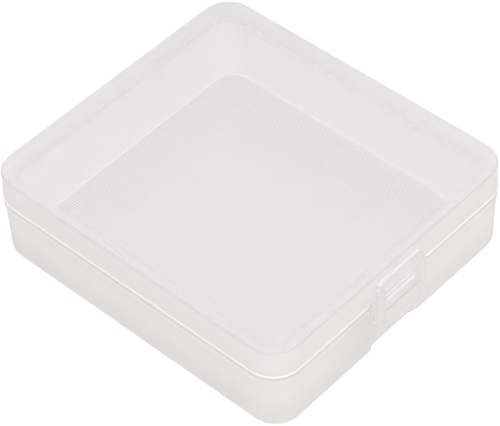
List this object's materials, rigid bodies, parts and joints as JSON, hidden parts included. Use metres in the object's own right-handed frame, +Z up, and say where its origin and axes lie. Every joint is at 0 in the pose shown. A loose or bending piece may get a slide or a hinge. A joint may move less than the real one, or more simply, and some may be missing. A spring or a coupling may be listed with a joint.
{
  "type": "battery storage box",
  "caption": "Flat clear plastic battery box: a deep tray and a shallow lid on snap-in rear hinges, shut by a windowed latch tab over a nib.",
  "frame": {"origin": "middle of the tray's underside, on the surface that the box stands on", "axes": "+X across the box along a stored cell, +Y from the latch to the hinges, +Z up"},
  "size_m": [0.0702, 0.0816, 0.0225],
  "materials": {
    "clear_plastic": "natural translucent polypropylene, moulded, gloss outside with a faint haze"
  },
  "bodies": {
    "base": {"base": "clear_plastic"},
    "lid": {"lid": "clear_plastic"}
  },
  "joints": [
    {"name": "lid_hinge", "type": "hinge", "parent": "base", "child": "lid", "pos_m": [0, 0.04025, 0.01585], "axis": [-1, 0, 0], "range_deg": [0, 180]}
  ]
}
